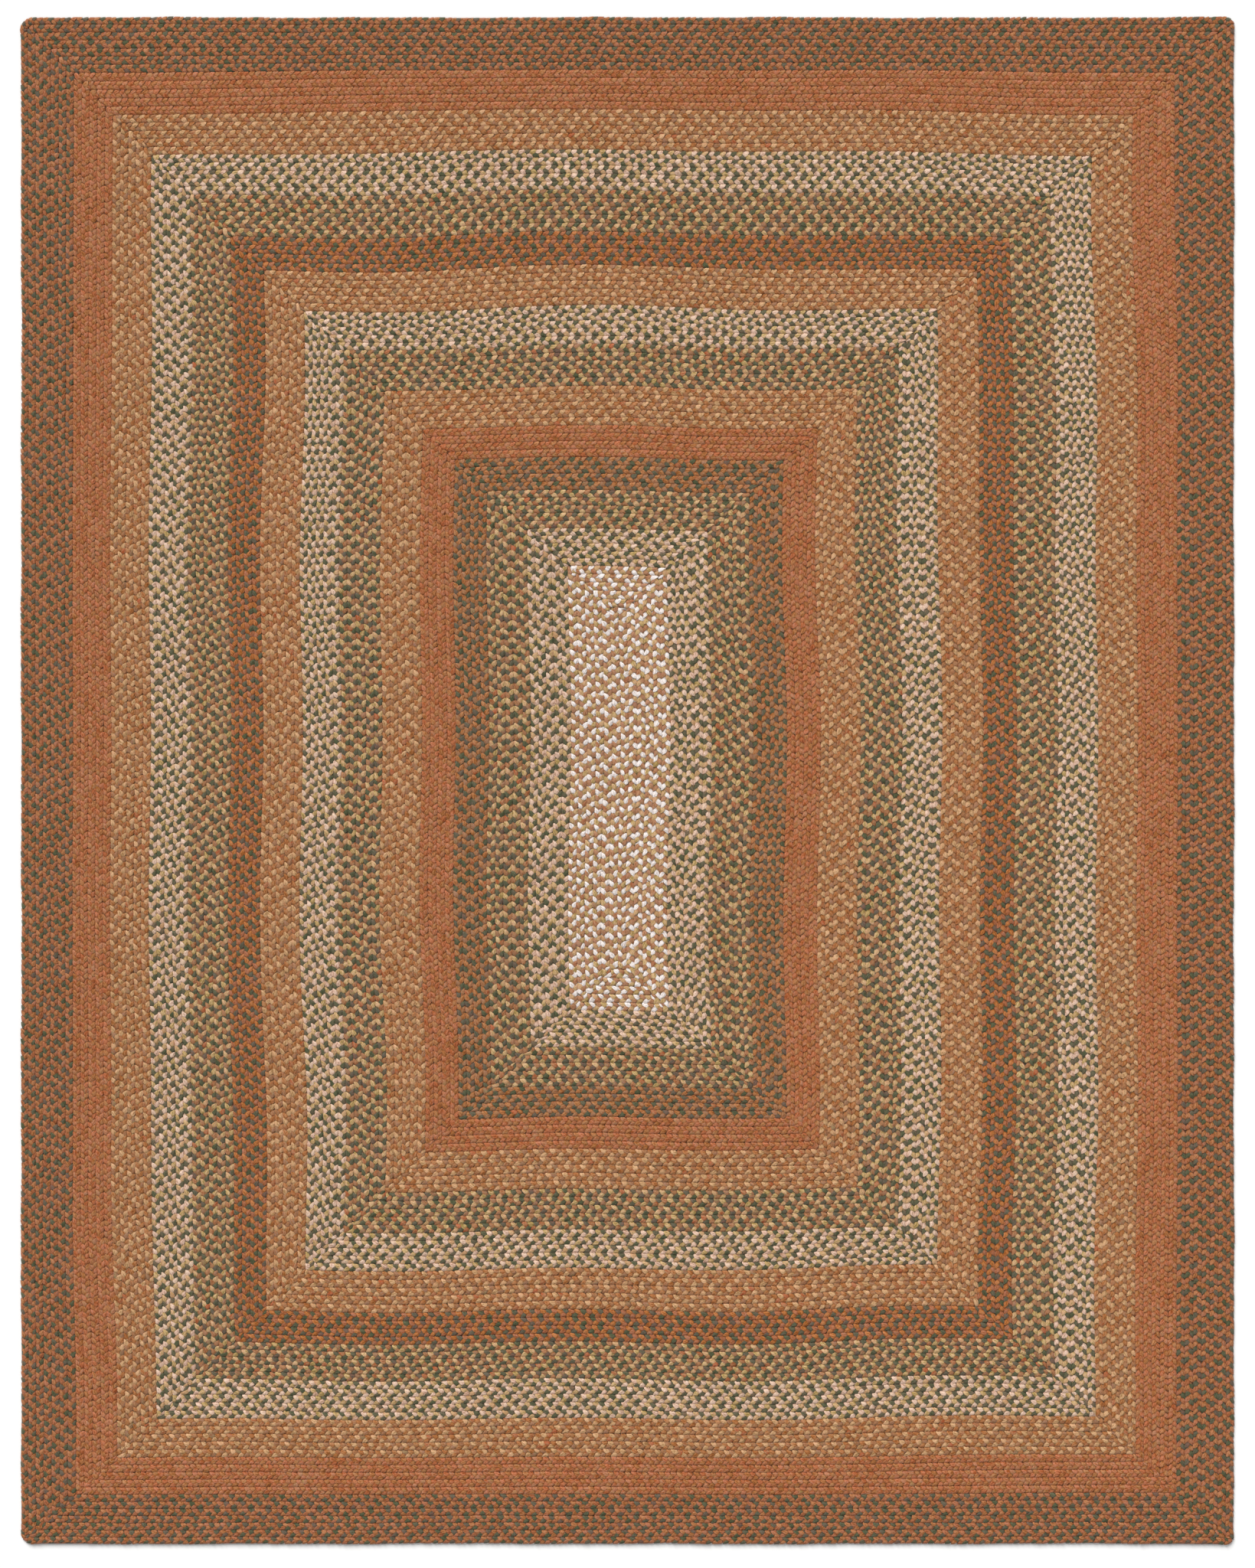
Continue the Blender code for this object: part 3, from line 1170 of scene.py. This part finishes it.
@cache
def yarn_material(yarn: Yarn) -> bpy.types.Material:
    """A strand's material: dyed plies run along each lobe, over a fuzz of fine fibres.

    Each lobe leans to some of the yarn's stops, and is lighter or darker as a whole. Shade is painted into
    the colour: the cracks between its plies and its sides, where it dives under its neighbours, are darker
    and deeper in colour, and its lighter places paler, as painted sheen.

    Args:
        yarn: The yarn.

    Returns:
        The material.
    """
    finish = yarn.value
    material = empty_material(f"{yarn.name.lower()}_yarn")
    add = partial(add_node, material.node_tree)
    place = add("UVMap", {}, uv_map=YARN_MAP)
    shift, tint, crest = [add("Attribute", {}, "Fac", attribute_name=name) for name in (SHIFT, TINT, PAINTED_EDGE_SHADE)]
    noises = []
    for size, detail, rough in (FIBRE.plies, FIBRE.fuzz):
        inputs = {"Vector": place, "Rotation": (0.0, 0.0, FIBRE.twist), "Scale": (*size, 1.0)}
        turned = add("Mapping", inputs, vector_type="TEXTURE")
        inputs = {"Vector": turned, "Scale": 1.0, "Detail": detail, "Roughness": rough}
        noises.append(add("TexNoise", inputs, noise_dimensions="2D"))
    plies, fuzz = noises
    full = (0.0, 1.0)
    spread = add("MapRange", range_inputs(plies, FIBRE.noise_range, FIBRE.stop_range))
    lean = add("MapRange", range_inputs(shift, full, (-finish.wander, finish.wander)))
    ramp = add("ValToRGB", {"Fac": add("Math", {0: spread, 1: lean}, operation="ADD", use_clamp=True)})
    fill_ramp(ramp.node.color_ramp, finish.stops)
    light = add("MapRange", range_inputs(tint, full, (1.0 - finish.light_range, 1.0 + finish.light_range)))
    for value, given, wanted, kind in (
        (fuzz, FIBRE.noise_range, (1.0 - FIBRE.fibre_light, 1.0 + FIBRE.fibre_light), "LINEAR"),
        # Painted shade in the cracks between the plies.
        (plies, FIBRE.ply_gap, (FIBRE.ply_shade, 1.0), "SMOOTHSTEP"),
        # Painted shade at the lobes' edges, where they dive under their neighbours.
        (crest, FIBRE.crest_range, (FIBRE.edge_shade, 1.0), "SMOOTHSTEP"),
    ):
        factor = add("MapRange", range_inputs(value, given, wanted), interpolation_type=kind)
        light = add("Math", {0: light, 1: factor}, operation="MULTIPLY")
    # Darker places, painted shade among them, turn deeper in colour and lighter ones paler: painted sheen.
    depth = add("MapRange", range_inputs(light, FIBRE.depth_range, FIBRE.saturation))
    dyed = add("HueSaturation", {"Color": ramp, "Saturation": depth, "Value": light})
    relief = add("Math", {0: fuzz, 1: FIBRE.fuzz_relief, 2: plies}, operation="MULTIPLY_ADD")
    FIBRE.shader(material.node_tree, dyed, relief)
    return material


def backing_material() -> bpy.types.Material:
    """The backing's material: each row's three strands plaited in its own colours, with painted shade in the
    plait's cracks and on its top, which shows only between the lobes.

    Returns:
        The material.
    """
    material = empty_material("plaited_backing")
    add = partial(add_node, material.node_tree)
    look = UNDERSIDE
    along, rows, _ = add("SeparateXYZ", {"Vector": add("UVMap", {}, uv_map=ROW_MAP)}).node.outputs
    across = add("Math", {0: rows}, operation="FRACT")
    off = add("Math", {0: across, 1: 0.5}, operation="SUBTRACT")
    side = add("Math", {0: off, 1: 0.0}, operation="GREATER_THAN")
    reach = add("Math", {0: off}, operation="ABSOLUTE")
    lobes = add("Math", {0: along, 1: float(PLAIT.strands)}, operation="MULTIPLY")
    slanted = add("Math", {0: reach, 1: look.slant, 2: lobes}, operation="MULTIPLY_ADD")
    phase = add("Math", {0: side, 1: look.stagger, 2: slanted}, operation="MULTIPLY_ADD")
    number = add("Math", {0: phase}, operation="FLOOR")
    within = add("Math", {0: phase}, operation="FRACT")
    which = add("Math", {0: number, 1: float(PLAIT.strands)}, operation="FLOORED_MODULO")
    mixed, *others = [add("Attribute", {}, attribute_name=name) for name in STRAND_COLOURS]
    # A Mix node has its colours in inputs 6 and 7 and output 2.
    for strand, other in enumerate(others):
        chosen = add("Math", {0: which, 1: strand + 0.5}, operation="GREATER_THAN")
        mixed = add("Mix", {"Factor": chosen, 6: mixed, 7: other}, 2, data_type="RGBA")
    humped = add("Math", {0: within, 1: 0.5}, operation="PINGPONG")
    full = (0.0, 1.0)
    hump, edge = (
        add("MapRange", range_inputs(value, given, full), interpolation_type="SMOOTHSTEP")
        for value, given in ((humped, (0.0, look.hump)), (reach, look.row_edge))
    )
    height = add("Math", {0: hump, 1: edge}, operation="MULTIPLY")
    # Painted shade: the plait's cracks are darkened in colour, as well as made low by the bump.
    shade = add("MapRange", range_inputs(height, full, (look.crack_light, 1.0)))
    topside = add("Attribute", {}, "Fac", attribute_name=TOPSIDE)
    # Painted shade: the top, seen only in the cracks between the lobes, is darker.
    deep = add("MapRange", range_inputs(topside, full, (1.0, look.top_light)))
    light = add("Math", {0: shade, 1: deep}, operation="MULTIPLY")
    colour = add("VectorMath", {0: mixed, "Scale": light}, operation="SCALE")
    FIBRE.shader(material.node_tree, colour, height)
    return material


# --- Studio ---


@dataclass(frozen=True)
class Studio:
    """The pale floor, the soft light and the camera straight above."""

    floor_side: float = 80.0
    floor_drop: float = 0.2 * MM
    floor_colour: str = "FCFCFB"
    floor_roughness: float = 0.9
    floor_specular: float = 0.2
    pixel_height: int = 2048
    pixel_size: float = 0.00153
    aim_below: float = 0.0069
    lens: float = 100.0
    sensor: float = 36.0
    sky: float = 0.46
    key: float = 3.03
    key_tilt: float = math.radians(-50.0)
    key_turn: float = math.radians(21.0)
    key_angle: float = math.radians(35.0)

    def build(self) -> None:
        """Makes the stage."""
        self.add_floor()
        self.add_light()
        self.add_camera()

    def add_floor(self) -> None:
        """Adds the plain floor of matt paint, which is pale and takes only a soft shadow."""
        mesh = bmesh.new()
        bmesh.ops.create_grid(mesh, x_segments=1, y_segments=1, size=self.floor_side / 2)
        bmesh.ops.translate(mesh, verts=mesh.verts[:], vec=(0.0, 0.0, -self.floor_drop))
        data = bpy.data.meshes.new("floor")
        mesh.to_mesh(data)
        mesh.free()
        material = empty_material("matt_floor_paint")
        paint = {
            "Base Color": linear(self.floor_colour),
            "Roughness": self.floor_roughness,
            "Specular IOR Level": self.floor_specular,
        }
        add = partial(add_node, material.node_tree)
        add("OutputMaterial", {"Surface": add("BsdfPrincipled", paint)})
        data.materials.append(material)
        floor = add_piece(data)

    def add_light(self) -> None:
        """Adds an even sky and one large soft key light."""
        world = bpy.data.worlds.new("studio_sky")
        world.use_nodes = True
        background = world.node_tree.nodes["Background"]
        background.inputs["Color"].default_value = (1.0, 1.0, 1.0, 1.0)
        background.inputs["Strength"].default_value = self.sky
        bpy.context.scene.world = world
        light = bpy.data.lights.new("key_light", "SUN")
        light.energy = self.key
        light.angle = self.key_angle
        add_piece(light).rotation_euler = (self.key_tilt, 0.0, self.key_turn)

    def add_camera(self) -> None:
        """Adds the camera straight above the rug, framed as the photograph is."""
        data = bpy.data.cameras.new("camera")
        data.lens = self.lens
        data.sensor_width = self.sensor
        camera = add_piece(data)
        tall = self.pixel_height * self.pixel_size
        camera.location = (0.0, -self.aim_below, tall * self.lens / self.sensor)
        bpy.context.scene.camera = camera
        bpy.context.scene.view_settings.view_transform = "Standard"


# --- Putting it together ---


@dataclass
class BraidedRug:
    """Builds the backing and every band's strands, and ties them to the frame."""

    plan: RugPlan = field(default_factory=RugPlan)
    shape: LobeShape = field(default_factory=LobeShape)
    lacing: Lacing = field(default_factory=Lacing)
    band_seed: int = 100
    yarn_seed: int = 1000
    seeds_a_band: int = 10

    def period(self, row: RoundRow | StraightRow) -> float:
        """The plait's period in a row: a little shorter towards the rug's edge."""
        share = min(1.0, row.total / self.plan.all_rounds()[0].total)
        return PLAIT.centre_period + share * (PLAIT.border_period - PLAIT.centre_period)

    def build_band(self, number: int, band: BraidBand) -> list[bpy.types.Object]:
        """Builds one band's three strand pieces.

        Args:
            number: The band's number from the edge inwards.
            band: The band.

        Returns:
            The pieces.
        """
        fullness = tuple(yarn.value.fullness for yarn in band.strands)
        plaiter = StrandPlaiter(self.shape, np.random.default_rng(self.band_seed + number), fullness)
        for row in self.plan.rounds[band.node]:
            plaiter.plait(row, *self.lacing.crossings(row, self.period(row)))
        for run in self.plan.runs if band is CENTRE else []:
            plaiter.plait(run, *self.lacing.run_crossings(run, self.period(run)))
        pieces = []
        for strand, yarn in enumerate(band.strands):
            name = f"{band.node}_{yarn.name.lower()}"
            seed = self.yarn_seed + self.seeds_a_band * number + strand
            piece = StrandPiece(name, self.shape, plaiter.strand(strand), seed).build()
            piece.data.materials.append(yarn_material(yarn))
            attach(piece, BODY)
            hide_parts(band.node)
            LOG.info("%s: %d triangles", name, len(piece.data.polygons))
            pieces.append(piece)
        return pieces

    def build(self) -> None:
        strands = []
        for number, band in enumerate(BANDS):
            strands += self.build_band(number, band)
        backing = Backing(self.plan).build()
        backing.data.materials.append(backing_material())
        LOG.info("%s: %d faces", backing.name, len(backing.data.polygons))
        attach(backing, BODY)
        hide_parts(*(band.node for band in BANDS))


def main() -> None:
    """Builds the rug and its stage."""
    logging.basicConfig(level=logging.INFO, format="%(name)s: %(message)s")
    BraidedRug().build()
    Studio().build()


if __name__ == "__main__":
    main()
